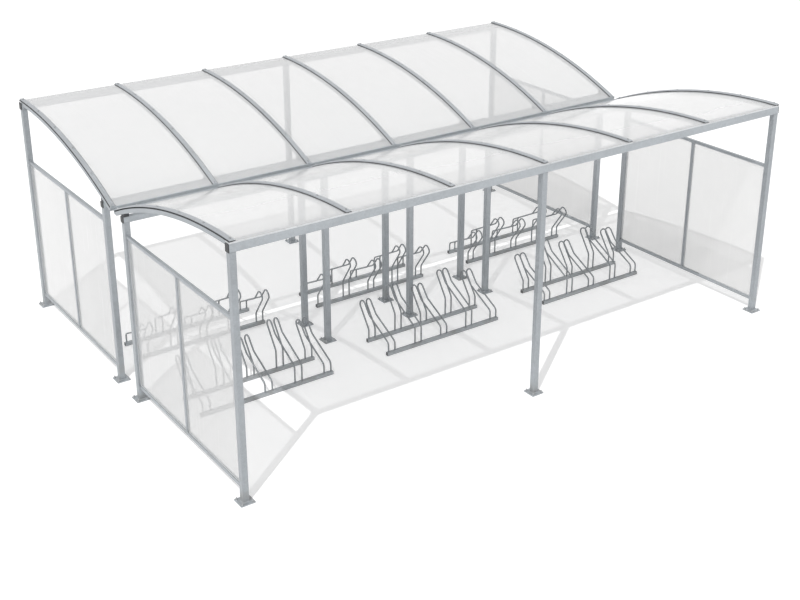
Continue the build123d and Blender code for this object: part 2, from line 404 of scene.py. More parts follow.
class Graph:
    """Node graph of a material or a world. Every node is added by the one method, add."""

    def __init__(self, tree: bpy.types.NodeTree) -> None:
        """Takes over a tree and empties it."""
        self.tree = tree
        self.tree.nodes.clear()

    def add(self, kind: str, settings: dict, sockets: dict) -> bpy.types.Node:
        """Adds a node.

        Args:
            kind: The node's type.
            settings: Its properties.
            sockets: Values, wires or output sockets of its inputs, by name or number.

        Returns:
            The node.
        """
        node = self.tree.nodes.new(kind)
        for key, value in settings.items():
            setattr(node, key, value)
        for key, value in sockets.items():
            self.feed(node, key, value)
        return node

    def feed(self, node: bpy.types.Node, key: Union[str, int], value: object) -> None:
        """Sets or links one input of a node."""
        value = value.socket if isinstance(value, Wire) else value
        if isinstance(value, bpy.types.NodeSocket):
            self.tree.links.new(value, node.inputs[key])
        else:
            node.inputs[key].default_value = value

    def place_vector(self, stretch: Sequence[float] = (1, 1, 1)) -> bpy.types.NodeSocket:
        """Object coordinates in metres, multiplied on each axis."""
        where = self.add("ShaderNodeTexCoord", {}, {})
        scaled = self.add("ShaderNodeMapping", {}, {"Vector": where.outputs["Object"],
                                                   "Scale": tuple(stretch)})
        return scaled.outputs[0]

    def axis(self, number: int) -> Wire:
        """One of the object coordinates, 0 for X to 2 for Z."""
        where = self.add("ShaderNodeTexCoord", {}, {})
        parts = self.add("ShaderNodeSeparateXYZ", {}, {0: where.outputs["Object"]})
        return Wire(self, parts.outputs[number])

    def along(self) -> Wire:
        """Distance along a swept piece."""
        run = self.add("ShaderNodeAttribute", {"attribute_name": "along"}, {})
        return Wire(self, run.outputs["Fac"])

    def noise(self, scale: float, detail: float = 3.0, stretch: Sequence[float] = (1, 1, 1),
              vector: bpy.types.NodeSocket | None = None) -> Wire:
        """Cloudy noise, about 0.5 on average.

        Args:
            scale: Features to the metre.
            detail: Octaves.
            stretch: Factor on each axis, small along streaks.
            vector: Coordinates to use in place of the object's.

        Returns:
            The noise.
        """
        at = self.place_vector(stretch) if vector is None else vector
        node = self.add("ShaderNodeTexNoise", {}, {"Vector": at, "Scale": scale, "Detail": detail})
        return Wire(self, node.outputs[0])

    def cells(self, scale: float) -> Wire:
        """A random value for each crystal-like cell."""
        node = self.add("ShaderNodeTexVoronoi", {}, {"Vector": self.place_vector(), "Scale": scale})
        part = self.add("ShaderNodeSeparateColor", {}, {0: node.outputs["Color"]})
        return Wire(self, part.outputs[0])

    def blend(self, factor: Number, first: object, second: object) -> bpy.types.NodeSocket:
        """Mixes two colours."""
        node = self.add("ShaderNodeMix", {"data_type": "RGBA"},
                        {0: factor, 6: self.colour(first), 7: self.colour(second)})
        return node.outputs[2]

    @staticmethod
    def colour(value: object) -> object:
        """Gives a plain colour its alpha, and leaves a socket alone."""
        return (*value, 1.0) if isinstance(value, tuple) and len(value) == 3 else value


class Skin(Graph):
    """Graph of a piece's material, built round a Principled shader."""

    GLOSS = 0.16  # roughness of the clear sheets' reflections
    GRAZING = (5, 0.96, 0.04)  # power, rise and least share of those reflections

    def __init__(self, name: str) -> None:
        """Starts a material with its shader and output."""
        self.owner = bpy.data.materials.new(name)
        self.owner.use_nodes = True
        super().__init__(self.owner.node_tree)
        self.shader = self.add("ShaderNodeBsdfPrincipled", {}, {})
        self.output = self.add("ShaderNodeOutputMaterial", {}, {"Surface": self.shader.outputs[0]})

    def bump(self, height: Wire, depth: float, strength: float) -> None:
        """Raises the surface by a height, which is 1 at the given depth in metres."""
        node = self.add("ShaderNodeBump", {}, {"Height": height, "Distance": depth,
                                               "Strength": strength})
        self.feed(self.shader, "Normal", node.outputs[0])

    def veil(self, hidden: Wire, through: float, tint: tuple[float, float, float]) -> None:
        """Makes the surface a thin veil over what lies behind it, glossier at grazing angles.

        Args:
            hidden: How far the veil hides what is behind it.
            through: Share of the veil that is lit from its far side.
            tint: Colour of that light.
        """
        far = self.add("ShaderNodeBsdfTranslucent", {}, {"Color": self.colour(tint)})
        body = self.add("ShaderNodeMixShader", {}, {0: through, 1: self.shader.outputs[0],
                                                    2: far.outputs[0]})
        clear = self.add("ShaderNodeBsdfTransparent", {}, {})
        both = self.add("ShaderNodeMixShader", {}, {0: hidden, 1: clear.outputs[0],
                                                    2: body.outputs[0]})
        shine = self.add("ShaderNodeBsdfGlossy", {}, {"Color": (1, 1, 1, 1),
                                                      "Roughness": self.GLOSS})
        facing = self.add("ShaderNodeLayerWeight", {}, {"Blend": 0.5}).outputs["Facing"]
        power, rise, least = self.GRAZING
        skin = self.add("ShaderNodeMixShader", {}, {0: Wire(self, facing) ** power * rise + least,
                                                    1: both.outputs[0], 2: shine.outputs[0]})
        self.feed(self.output, "Surface", skin.outputs[0])

    def paint(self, **sockets: object) -> None:
        """Feeds the shader: words joined by _ name its sockets."""
        for key, value in sockets.items():
            self.feed(self.shader, key.replace("_", " ").title().replace("Ior", "IOR"),
                      self.colour(value))


# --- Finishes ---

WHITE_BLOOM = (0.60, 0.62, 0.63)
SPLASHED_MUD = (0.34, 0.33, 0.31)
WORN_STEEL = (0.20, 0.20, 0.205)
RAIN_DIRT = (0.30, 0.31, 0.30)

_made: dict[object, bpy.types.Material] = {}


@dataclass(frozen=True)
class Finish:
    """A surface finish. Each is made once and shared."""

    label: str

    def material(self) -> bpy.types.Material:
        """The finish's material, made at the first call."""
        if self not in _made:
            graph = Skin(self.label)
            self.dress(graph)
            _made[self] = graph.owner
        return _made[self]

    def dress(self, graph: Skin) -> None:
        """Fills the graph."""
        raise NotImplementedError


@dataclass(frozen=True)
class Galvanised(Finish):
    """Hot-dip zinc on steel: faint crystals, cloudy dulling, rolling streaks and splashed dust."""

    grain: Grain
    tint: Colour
    roughness: float = 0.44
    crystals: float = 75.0  # to the metre
    rubbed: bool = False
    splash_height: float = 0.30
    wheel_heights: Pairs = ((0.12, 0.20), (0.52, 0.40))  # where tyres start and stop rubbing
    metallic: float = 0.62

    def dress(self, graph: Skin) -> None:
        """Colour and gloss follow crystals, clouds and streaks; dust gathers near the floor."""
        cloud = graph.noise(1.7, 4.0)
        mottle = graph.noise(19.0, 3.0)
        crystal = graph.cells(self.crystals)
        streak = graph.noise(60.0, 2.0, self.grain.value)
        tone = 0.5 + (cloud - 0.5) * 0.9 + (mottle - 0.5) * 0.35 + (crystal - 0.5) * 0.28 \
            + (streak - 0.5) * 0.3
        dark = tuple(c * 0.86 for c in self.tint)
        light = tuple(min(c * 1.14, 1.0) for c in self.tint)
        metal = graph.blend(tone.rising(0.0, 1.0), dark, light)
        height = graph.axis(2)
        splash = height.rising(self.splash_height, 0.0) * graph.noise(9.0, 4.0).rising(0.38, 0.72)
        bloom = graph.noise(5.5, 5.0).rising(0.62, 0.78)
        metal = graph.blend(bloom * 0.35, metal, WHITE_BLOOM)
        metal = graph.blend(splash * 0.45, metal, SPLASHED_MUD)
        rough = self.roughness + (crystal - 0.5) * 0.10 + (cloud - 0.5) * 0.16 + bloom * 0.15 \
            + splash * 0.25
        if self.rubbed:
            scuff = graph.noise(150.0, 3.0, (0.25, 0.25, 1.0)).rising(0.55, 0.70)
            low, high = self.wheel_heights
            wheel = height.rising(*low) * height.rising(*high)
            metal = graph.blend(scuff * wheel * 0.55, metal, WORN_STEEL)
            rough = rough + scuff * wheel * 0.12
        grit = graph.noise(420.0, 2.0)
        graph.paint(base_color=metal, roughness=rough, metallic=self.metallic)
        graph.bump(crystal * 0.25 + grit * 0.5 + streak * 0.35, 0.00025, 0.5)


@dataclass(frozen=True)
class DrawnAluminium(Finish):
    """Mill-finish strip with fine drawing lines along it, dulled by rain."""

    tint: Colour
    roughness: float = 0.40
    level: bool = False  # lies along X

    def dress(self, graph: Skin) -> None:
        """Lines run along the strip: noise is read at the distance along it, squeezed greatly."""
        if self.level:
            at = graph.place_vector((0.012, 1.0, 1.0))
        else:
            at = graph.add("ShaderNodeCombineXYZ", {}, {0: graph.axis(0), 1: graph.along() * 0.012,
                                                       2: graph.axis(2) * 0.02}).outputs[0]
        line = graph.noise(900.0, 2.0, vector=at)
        cloud = graph.noise(2.6, 4.0)
        dirt = graph.noise(24.0, 5.0).rising(0.50, 0.78)
        tone = 0.5 + (cloud - 0.5) * 0.8 + (line - 0.5) * 0.5
        metal = graph.blend(tone.rising(0.0, 1.0), tuple(c * 0.84 for c in self.tint),
                            tuple(c * 1.15 for c in self.tint))
        metal = graph.blend(dirt * 0.30, metal, RAIN_DIRT)
        graph.paint(base_color=metal, metallic=0.7,
                    roughness=self.roughness + (line - 0.5) * 0.18 + dirt * 0.25)
        graph.bump(line, 0.00012, 0.5)


@dataclass(frozen=True)
class ClearSheet(Finish):
    """Solid clear plastic glazing with dust, faint wipe marks and rain runs."""

    tint: Colour = (0.785, 0.785, 0.787)
    veil: float = 0.47  # how far one face hides what is behind it
    through: float = 0.40  # share of the veil that is lit from behind
    dust: Colour = (0.62, 0.61, 0.58)
    run: tuple[float, float, float] = (1.0, 0.04, 0.10)  # rain runs, fine across and long down
    roughness: float = 0.16

    def dress(self, graph: Skin) -> None:
        """The veil thickens in dusty clouds and thin runs, where the gloss drops too."""
        cloud = graph.noise(1.3, 4.0)
        runs = graph.noise(26.0, 3.0, self.run).rising(0.50, 0.80)
        speck = graph.noise(180.0, 2.0).rising(0.68, 0.76)
        wipe = graph.noise(7.0, 2.0, (1.0, 0.3, 0.3))
        haze = self.veil + (cloud - 0.5) * 0.07 + runs * 0.012 + speck * 0.03
        tone = graph.blend(runs * 0.08 + speck * 0.25, self.tint, self.dust)
        graph.paint(base_color=tone, IOR=1.5,
                    roughness=self.roughness + (wipe - 0.5) * 0.12 + runs * 0.10)
        graph.bump(graph.noise(1.8, 1.0), 0.0015, 0.35)
        graph.veil(haze, self.through, self.tint)


@dataclass(frozen=True)
class Patchy(Finish):
    """A fine-grained skin with paler or duller patches: rubber, plastic, sealant or plating."""

    tint: Colour
    patch_tint: Colour
    patch_noise: tuple[float, float]  # features to the metre, and octaves
    patch_range: tuple[float, float]
    patch_share: float
    roughness: float
    patch_roughness: float
    grain: float  # to the metre
    bump: tuple[float, float]  # depth in metres, and strength
    grain_roughness: float = 0.0
    metallic: float = 0.0

    def dress(self, graph: Skin) -> None:
        """Patches change colour and gloss, and the grain is raised."""
        patch = graph.noise(*self.patch_noise).rising(*self.patch_range)
        grain = graph.noise(self.grain, 2.0)
        tone = graph.blend(patch * self.patch_share, self.tint, self.patch_tint)
        rough = self.roughness + patch * self.patch_roughness
        if self.grain_roughness:
            rough = rough + (grain - 0.5) * self.grain_roughness
        graph.paint(base_color=tone, roughness=rough, metallic=self.metallic)
        graph.bump(grain, *self.bump)


def moulded(label: str, tint: Colour) -> Patchy:
    """Moulded plastic with a spark-eroded texture, a little faded."""
    return Patchy(label, tint, (0.095, 0.096, 0.100), (16.0, 3.0), (0.42, 0.75), 0.5, 0.48, 0.2,
                  900.0, (0.00015, 0.6), 0.12)


# One galvanised steel in three tints that differ as painted light and shade: uprights and mullions
# darkest (painted shade), plates, beams and purlins lightest (painted light), bars and screen rails
# in between.
STEEL_UP_SHADED = Galvanised("galvanised_upright_painted_shade", Grain.UP, (0.375, 0.40, 0.422))
STEEL_ALONG_LIT = Galvanised("galvanised_long_painted_light", Grain.ALONG, (0.43, 0.458, 0.482))
STEEL_ACROSS = Galvanised("galvanised_cross", Grain.ACROSS, (0.39, 0.415, 0.437))
# Darker than the frame's steel: painted shade standing in for the shaded edges of the thin hoops.
# The scuffs at wheel height are real wear.
RACK_STEEL_SHADED = Galvanised("galvanised_rack", Grain.UP, (0.27, 0.288, 0.302), 0.32, 110.0, True)
RAIL_STEEL = Galvanised("galvanised_rack_rail", Grain.ALONG, (0.40, 0.422, 0.44), 0.42, 95.0)
STRIP = DrawnAluminium("drawn_strip", (0.44, 0.462, 0.485))
EAVES = DrawnAluminium("drawn_eaves", (0.40, 0.43, 0.455), 0.44, True)
CREST = DrawnAluminium("drawn_crest", (0.66, 0.675, 0.69), 0.46, True)
ROOF = ClearSheet("clear_roof")
PANE = ClearSheet("clear_screen", (0.78, 0.778, 0.776), 0.42, 0.80, run=(1.0, 1.0, 0.03),
                  roughness=0.22)
RUBBER = Patchy("weather_rubber", (0.060, 0.062, 0.066), (0.20, 0.20, 0.205), (11.0, 4.0),
                (0.45, 0.80), 0.45, 0.66, 0.18, 650.0, (0.0002, 0.5), 0.1)
PLASTIC = moulded("moulded_plastic", (0.040, 0.041, 0.044))
PLUG = moulded("moulded_plug", (0.14, 0.143, 0.148))
SEALANT = Patchy("pane_sealant", (0.46, 0.48, 0.49), (0.34, 0.34, 0.33), (28.0, 4.0),
                 (0.45, 0.78), 0.5, 0.38, 0.3, 70.0, (0.0006, 0.6))
PLATED = Patchy("plated_fastener", (0.50, 0.51, 0.52), (0.30, 0.305, 0.31), (140.0, 3.0),
                (0.42, 0.70), 0.55, 0.33, 0.25, 700.0, (0.0001, 0.5), metallic=0.8)
WELD = Galvanised("zinc_on_weld", Grain.UP, (0.42, 0.44, 0.46), 0.50, 260.0)


# --- Layout ---


@dataclass(frozen=True)
class Layout:
    """Main places of the shelter, read from the CAD pieces."""

    lines: np.ndarray
    outer_y: float
    inner_y: float
    post: float
    plate_top: float
    beam_low: float
    purlin_low: float
    crest_top: float
    outer_lines: tuple[int, ...] = (0, 3, 6)
    inner_lines: tuple[int, ...] = (0, 2, 3, 4, 6)

    @classmethod
    def read(cls) -> "Layout":
        """Reads the rear half's boxes; the front half mirrors them."""
        outer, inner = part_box("rear_outer_posts"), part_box("rear_inner_posts")
        beam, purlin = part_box("rear_outer_beam"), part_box("rear_inner_purlin")
        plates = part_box("rear_base_plates")
        post = outer[1].y - outer[0].y
        ends = outer[0].x + post / 2, outer[1].x - post / 2
        return cls(np.linspace(*ends, cls.outer_lines[-1] + 1), (outer[0].y + outer[1].y) / 2,
                   (inner[0].y + inner[1].y) / 2, post, plates[1].z, beam[0].z,
                   purlin[0].z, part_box("rear_crest_strip")[1].z)

    def feet(self, half: Half) -> np.ndarray:
        """Middle of every base plate's top on one half, of shape (8, 3)."""
        x = self.lines[list(self.outer_lines + self.inner_lines)]
        y = np.repeat([self.outer_y, self.inner_y], [len(self.outer_lines), len(self.inner_lines)])
        return np.stack([x, half.value * y, np.full(len(x), self.plate_top)], axis=-1)


# --- Steel frame ---


@dataclass
class SteelFrame:
    """Posts, plates, beams and purlins, with their welds and anchor bolts."""

    layout: Layout
    anchor_spacing: float = 0.096
    stud_radius: float = 0.005
    washer_radius: float = 0.0105
    washer_height: float = 0.002
    nut_flat: float = 0.0085
    nut_height: float = 0.0084
    stud_height: float = 0.021
    thread_pitch: float = 0.0030
    thread_depth: float = 0.00045
    ease: float = 3e-4  # at the washer's edges
    nut_chamfer: tuple[float, float] = (8e-4, 1.2e-3)  # at its foot and at its top
    turns: int = 18  # points round washer, nut and stud
    bead: float = 0.0046
    bead_sides: int = 8
    ripple: float = 0.0052
    ripple_swell: float = 0.14
    post_corner: float = 0.004
    arch_weld: tuple[float, float] = (0.044, 0.040)  # length, and depth under the crest

    def dress(self) -> None:
        """Gives the CAD tubes, plates and caps their finishes."""
        for half in Half:
            for part, finish, slot in (
                ("outer_posts", STEEL_UP_SHADED, Slot.STEEL), ("inner_posts", STEEL_UP_SHADED, Slot.STEEL),
                ("base_plates", STEEL_ALONG_LIT, Slot.STEEL), ("outer_beam", STEEL_ALONG_LIT, Slot.STEEL),
                ("inner_purlin", STEEL_ALONG_LIT, Slot.STEEL), ("tube_caps", PLASTIC, Slot.PLASTIC),
                ("rail_packers", RUBBER, Slot.PLASTIC),
            ):
                coat(half.node(part), finish)

    def anchor(self) -> Surface:
        """One anchor: washer, chamfered nut and threaded stud, each a turned profile.

        The nut's flats draw in over its chamfers. The stud's radius falls and rises by the
        thread's depth once in each pitch.
        """
        w, h, e = self.washer_radius, self.washer_height, self.ease
        washer = turned([(0, 0), (w - e, 0), (w, e), (w, h - e), (w - e, h), (0, h)], self.turns)
        top, flat, (foot, head) = h + self.nut_height, self.nut_flat, self.nut_chamfer
        nut = turned([(0, h), (-flat * 0.97, h), (-flat, h + foot), (-flat, top - head),
                      (-flat * 0.93, top), (0, top)], self.turns, HEXAGON)
        z = np.arange(top - 1e-3, self.stud_height, self.thread_pitch / 4)
        wave = self.thread_depth * np.abs((z / self.thread_pitch) % 1 - 0.5) * 2
        radius = np.concatenate([[0.0], self.stud_radius - wave, [self.stud_radius - 1e-3, 0.0]])
        tip = self.stud_height + 8e-4
        stud = turned(list(zip(radius, np.concatenate([z[:1], z, [tip, tip]]))), self.turns)
        return Surface.joined([washer, nut, stud])

    def bolts(self, half: Half) -> None:
        """Sets four anchors on each base plate."""
        d = self.anchor_spacing / 2
        corners = np.array([(-d, -d, 0), (d, -d, 0), (d, d, 0), (-d, d, 0)])
        spots = (self.layout.feet(half)[:, None] + corners[None]).reshape(-1, 3)
        turn = np.resize([(1, 0, 0), (0.8, 0.6, 0), (0.5, 0.866, 0)], (len(spots), 3))
        place(half.node("anchor_bolts"), self.anchor().repeated(frames_at(spots, ahead=turn)),
              PLATED)

    def swell(self, count: int) -> np.ndarray:
        """Scale of a rippled bead at each of its points: in turn thick and thin."""
        return 1 + self.ripple_swell * np.cos(np.arange(count) * math.pi)

    def ring_bead(self, width: float, height: float, corner: float) -> Surface:
        """A rippled bead round a rounded rectangle on the floor of its frame."""
        outline = even(box_outline(width, height, corner, 6), self.ripple / 2)
        path = np.concatenate([outline, np.zeros((len(outline), 1))], axis=1)
        return swept(circle(self.bead, self.bead_sides), path, (0, 0, 1), True,
                     self.swell(len(path)))

    def line_bead(self, length: float) -> Surface:
        """A straight rippled bead along X, tapered at both ends."""
        count = int(length / self.ripple) * 2 + 1
        x = np.linspace(-length / 2, length / 2, count)
        taper = np.sqrt(np.clip(1.02 - np.abs(x / (length / 2)) ** 8, 0.03, 1))
        path = np.stack([x, 0 * x, 0 * x], axis=-1)
        return swept(circle(self.bead, self.bead_sides), path, (0, 0, 1), False,
                     self.swell(count) * taper)

    def welds(self, half: Half) -> None:
        """Beads at the posts' feet, under the beam and purlin, and where bars meet the beam."""
        lay = self.layout
        feet = lay.feet(half)
        rings = self.ring_bead(lay.post, lay.post, self.post_corner).repeated(frames_at(feet))
        tops = feet.copy()
        count = len(lay.outer_lines)
        tops[:count, 2], tops[count:, 2] = lay.beam_low, lay.purlin_low
        sides = np.concatenate([tops + (lay.post / 2, 0, 0), tops - (lay.post / 2, 0, 0)])
        bead = self.line_bead(lay.post - 2 * self.post_corner)
        lines = bead.repeated(frames_at(sides, ahead=(0, 1, 0)))
        place(half.node("post_foot_welds"), rings, WELD)
        place(half.node("post_head_welds"), lines, WELD)
        y = half.value * (lay.outer_y - lay.post / 2)
        length, depth = self.arch_weld
        under = np.stack([lay.lines, np.full_like(lay.lines, y),
                          np.full_like(lay.lines, lay.crest_top - depth)], axis=-1)
        place(half.node("arch_welds"), self.line_bead(length).repeated(frames_at(under)),
              WELD)

    def build(self) -> None:
        """Dresses the frame and adds its small parts."""
        self.dress()
        for half in Half:
            self.bolts(half)
            self.welds(half)


def even(outline: np.ndarray, step: float) -> np.ndarray:
    """Walks a closed outline in an even number of equal steps near the given length."""
    ring = np.concatenate([outline, outline[:1]])
    run = np.concatenate([[0.0], np.cumsum(np.linalg.norm(np.diff(ring, axis=0), axis=1))])
    count = 2 * max(4, round(run[-1] / step / 2))
    at = np.linspace(0, run[-1], count, endpoint=False)
    return np.stack([np.interp(at, run, ring[:, k]) for k in range(ring.shape[1])], axis=-1)


def coat(node: str, finish: Finish) -> None:
    """Gives a CAD node its finish.

    Args:
        node: Name of the CAD node.
        finish: The finish.
    """
    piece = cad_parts[node]
    piece.data.materials.clear()
    piece.data.materials.append(finish.material())
    LOG.info("%s: %s", node, finish.label)


# --- Roof ---


@dataclass
class Roof:
    """Curved bars, sheets, gaskets, cover strips, screws and the strips at crest and eaves."""

    layout: Layout
    radius: float = 5.25
    end_y: float = 0.050
    bar_width: float = 0.050
    bar_height: float = 0.040
    bar_nose: float = 0.022
    sheet: float = 0.004
    sheet_inset: float = 0.006
    gasket_width: float = 0.055
    gasket_stem: float = 0.010
    gasket_top: float = 0.009
    cover_width: float = 0.044
    screw_count: int = 6
    screw_ends: tuple[float, float] = (0.070, 0.010)  # from the middle plane, and from the posts
    eaves_depth: float = 0.012
    eaves_low: float = -0.024
    eaves_top: float = 0.016
    eaves_ease: float = 0.0016
    drip: Pairs = ((0.004, 0), (0.005, 0.003), (0.008, 0.003), (0.009, 0))  # groove below
    bar_ease: float = 0.003
    nose_steps: tuple[int, float] = (14, 1.6)  # points on the nose, and how they crowd to its end
    lip: tuple[float, float] = (0.004, 0.0018)  # slope on a gasket's edge
    gasket_ease: float = 0.0004
    shoulder: Pairs = ((0, 0.0030), (-0.006, 0.011), (-0.0135, 0.011), (-0.0145, 0.010))
    cover_ease: float = 0.0008
    flange: Pairs = ((0, 0), (0.0085, 0), (0.0089, 0.0004), (0.0089, 0.0012), (0.0072, 0.0022),
                     (0, 0.0024))
    head: Pairs = ((0, 0.0012), (-0.0058, 0.0012), (-0.0059, 0.0072), (-0.0053, 0.0086),
                   (-0.0046, 0.0088), (0, 0.0088))
    turns: int = 18
    steps: int = 72

    def __post_init__(self) -> None:
        """Finds the roof's axis: the sheets touch both top edges of the crest strip."""
        half = self.layout.post / 2
        self.axis_z = self.layout.crest_top - math.sqrt(self.radius**2 - half**2)
        self.end = math.asin((self.layout.outer_y - self.end_y) / self.radius)
        self.start = -math.asin(half / self.radius)
        self.cover_top = self.gasket_top + self.shoulder[1][1]

    def bent(self, half: Half, middle: float, section: np.ndarray, start: float,
             lift: np.ndarray | None = None, along: np.ndarray | None = None) -> Surface:
        """Bends a section round the roof.

        A point of the section at (x, r) lies, at the angle a from the crest, at the roof's radius
        plus r: Y falls with the sine of a and Z with its cosine.

        Args:
            half: Which half.
            middle: X of the section's middle.
            section: Outline of (x, r) pairs.
            start: Angle of the upper end.
            lift: Least r at each angle, for a rounded underside.
            along: Angles to use in place of even ones.

        Returns:
            The bent surface.
        """
        a = np.linspace(start, self.end, self.steps) if along is None else along
        r = np.broadcast_to(section[None, :, 1], (len(a), len(section)))
        r = r if lift is None else np.maximum(r, lift[:, None])
        reach = self.radius + r
        x = np.broadcast_to(middle + section[None, :, 0], r.shape)
        y = half.value * (self.layout.outer_y - reach * np.sin(a)[:, None])
        z = self.axis_z + reach * np.cos(a)[:, None]
        return grid(np.stack([x, y, z], axis=-1), along=a * self.radius)

    def bars(self, half: Half) -> None:
        """Bars with eased edges, whose underside rises in a quarter circle to the low end.

        At the distance s from the end, the underside has risen by the nose less the root of the
        nose squared less the square of (nose - s).
        """
        start = math.asin(self.layout.post / 2 / self.radius)
        count, crowd = self.nose_steps
        fine = self.end - np.linspace(1, 0, count) ** crowd * self.bar_nose / self.radius
        a = np.concatenate([np.linspace(start, fine[0], self.steps)[:-1], fine])
        s = np.minimum((self.end - a) * self.radius, self.bar_nose)
        nose = self.bar_nose
        rise = nose - np.sqrt(np.clip(nose**2 - (nose - s) ** 2, 0, None))
        w, h = self.bar_width / 2, self.bar_height
        section = rounded([(-w, -h), (w, -h), (w, 0), (-w, 0)], self.bar_ease)
        bars = [self.bent(half, x, section, start, rise - h, a) for x in self.layout.lines]
        place(half.node("curved_bars"), Surface.joined(bars),
              STEEL_ACROSS, [half.node("arch_bars")])

    def sheets(self, half: Half) -> None:
        """Sheets of even thickness between the gasket stems."""
        width = float(np.diff(self.layout.lines)[0]) - 2 * self.sheet_inset
        t = self.sheet
        section = np.array([(-width / 2, 0), (-width / 6, 0), (width / 6, 0), (width / 2, 0),
                            (width / 2, t), (width / 6, t), (-width / 6, t), (-width / 2, t)])
        middles = (self.layout.lines[:-1] + self.layout.lines[1:]) / 2
        sheets = [self.bent(half, x, section, self.start) for x in middles]
        place(half.node("clear_sheets"), Surface.joined(sheets),
              ROOF, [half.node("roof_sheets")])

    def gaskets(self, half: Half) -> None:
        """T-shaped gaskets with thin lips; the outermost ones fill the place of a missing sheet."""
        w, s, t, top = self.gasket_width / 2, self.gasket_stem / 2, self.sheet, self.gasket_top
        slope, drop = self.lip
        made = []
        for number, x in enumerate(self.layout.lines):
            left = w if number == 0 else s
            right = w if number == len(self.layout.lines) - 1 else s
            outline = [(-left, 0), (right, 0), (right, t), (w, t), (w, top - drop),
                       (w - slope, top), (-w + slope, top), (-w, top - drop), (-w, t), (-left, t)]
            keep = [p for p, q in zip(outline, outline[1:] + outline[:1]) if p != q]
            made.append(self.bent(half, x, rounded(keep, self.gasket_ease, 2), self.start))
        corners = {len(m.caps[0]) for m in made}
        name = half.node("glazing_gaskets")
        middle = [m for m in made if len(m.caps[0]) == max(corners)]
        outer = [m for m in made if len(m.caps[0]) != max(corners)]
        place(half.node("lipped_gaskets"), Surface.joined(middle), RUBBER, [name])
        place(half.node("end_gaskets"), Surface.joined(outer), RUBBER)

    def covers(self, half: Half) -> None:
        """Cover strips with sloping shoulders and a shallow groove for the screws."""
        w, low = self.cover_width / 2, self.gasket_top
        right = [(w, low)] + [(w + x, low + r) for x, r in self.shoulder]
        outline = right + [(-x, r) for x, r in reversed(right)]
        section = rounded(outline, self.cover_ease, 3)
        strips = [self.bent(half, x, section, self.start) for x in self.layout.lines]
        place(half.node("clamp_strips"), Surface.joined(strips),
              STRIP, [half.node("cover_strips")])

    def screws(self, half: Half) -> None:
        """Flanged hexagon screws at even steps down every cover strip.

        The flange slopes up to the head, whose flats draw in towards its top.
        """
        screw = Surface.joined([turned(self.flange, self.turns),
                                turned(self.head, self.turns, HEXAGON)])
        reach = self.radius + self.cover_top
        steps = np.linspace(self.screw_ends[0], self.layout.outer_y - self.screw_ends[1],
                            self.screw_count)
        a = np.arcsin((self.layout.outer_y - steps) / reach)
        y = half.value * (self.layout.outer_y - reach * np.sin(a))
        z = self.axis_z + reach * np.cos(a)
        up = np.stack([0 * a, -half.value * np.sin(a), np.cos(a)], axis=-1)
        spots = [np.stack([np.full(len(a), x), y, z], axis=-1) for x in self.layout.lines]
        frames = frames_at(np.concatenate(spots), np.tile(up, (len(spots), 1)))
        place(half.node("hexagon_screws"), screw.repeated(frames), PLATED,
              [half.node("cover_screws")])

    def eaves(self, half: Half) -> None:
        """Strip across the low ends: a flat bar with eased edges and a drip groove under it.

        Its section lies in the tangent and the radius at the bars' low end, and runs along X.
        """
        d, low, top = self.eaves_depth, self.eaves_low, self.eaves_top
        groove = [(x, low + rise) for x, rise in self.drip]
        outline = rounded([(0, low), *groove, (d, low), (d, top), (0, top)], self.eaves_ease)
        reach = self.radius + outline[:, 1]
        sine, cosine = math.sin(self.end), math.cos(self.end)
        y = half.value * (self.layout.outer_y - reach * sine - outline[:, 0] * cosine)
        z = self.axis_z + reach * cosine - outline[:, 0] * sine
        low_box, high_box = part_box(f"{half.word}_eaves_strip")
        x = np.linspace(low_box.x, high_box.x, EAVES_STATIONS)
        points = np.stack(np.broadcast_arrays(x[:, None], y[None], z[None]), axis=-1)
        place(half.node("drip_strip"), grid(points, along=x), EAVES,
              [half.node("eaves_strip")])

    def build(self) -> None:
        """Builds both halves."""
        for half in Half:
            coat(half.node("crest_strip"), CREST)
            self.bars(half)
            self.sheets(half)
            self.gaskets(half)
            self.covers(half)
            self.screws(half)
            self.eaves(half)


# --- End screens ---


